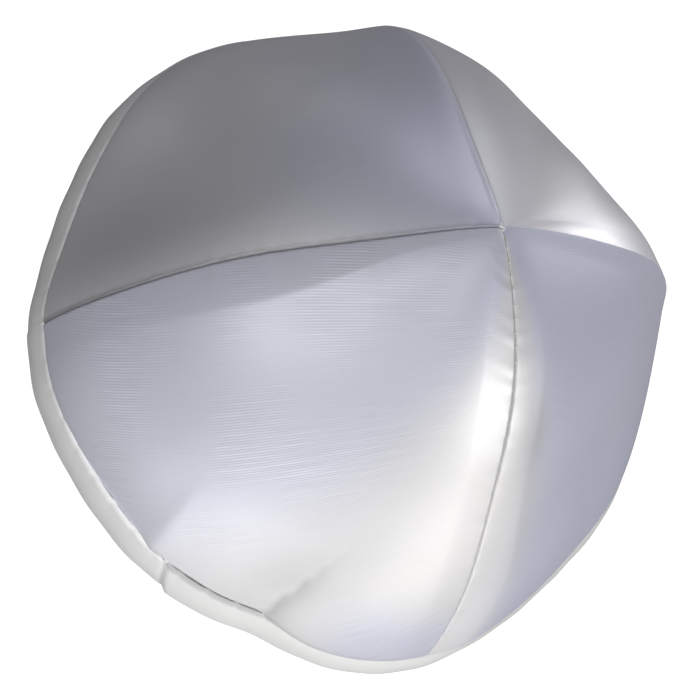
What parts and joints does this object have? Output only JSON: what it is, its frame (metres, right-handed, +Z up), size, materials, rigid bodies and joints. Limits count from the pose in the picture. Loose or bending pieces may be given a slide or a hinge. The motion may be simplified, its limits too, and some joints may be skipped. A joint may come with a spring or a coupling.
{
  "type": "kippah skullcap",
  "caption": "Soft white satin kippah of sewn gores that meet at a point, with a narrow folded binding round the rim. It is worn on the crown of the head.",
  "frame": {"origin": "on the surface the cap stands on, under the middle of the rim's box", "axes": "+Z up through the crown, -Y towards the front gore, +X towards the right gore"},
  "size_m": [0.1608, 0.166, 0.0758],
  "materials": {
    "satin_front": "satin weave",
    "satin_right": "satin weave",
    "satin_back": "satin weave",
    "satin_left": "satin weave",
    "satin_binding": "satin tape"
  },
  "bodies": {
    "root": {"panel_front": "satin_front", "panel_right": "satin_right", "panel_back": "satin_back", "panel_left": "satin_left", "rim_binding": "satin_binding"}
  },
  "joints": []
}
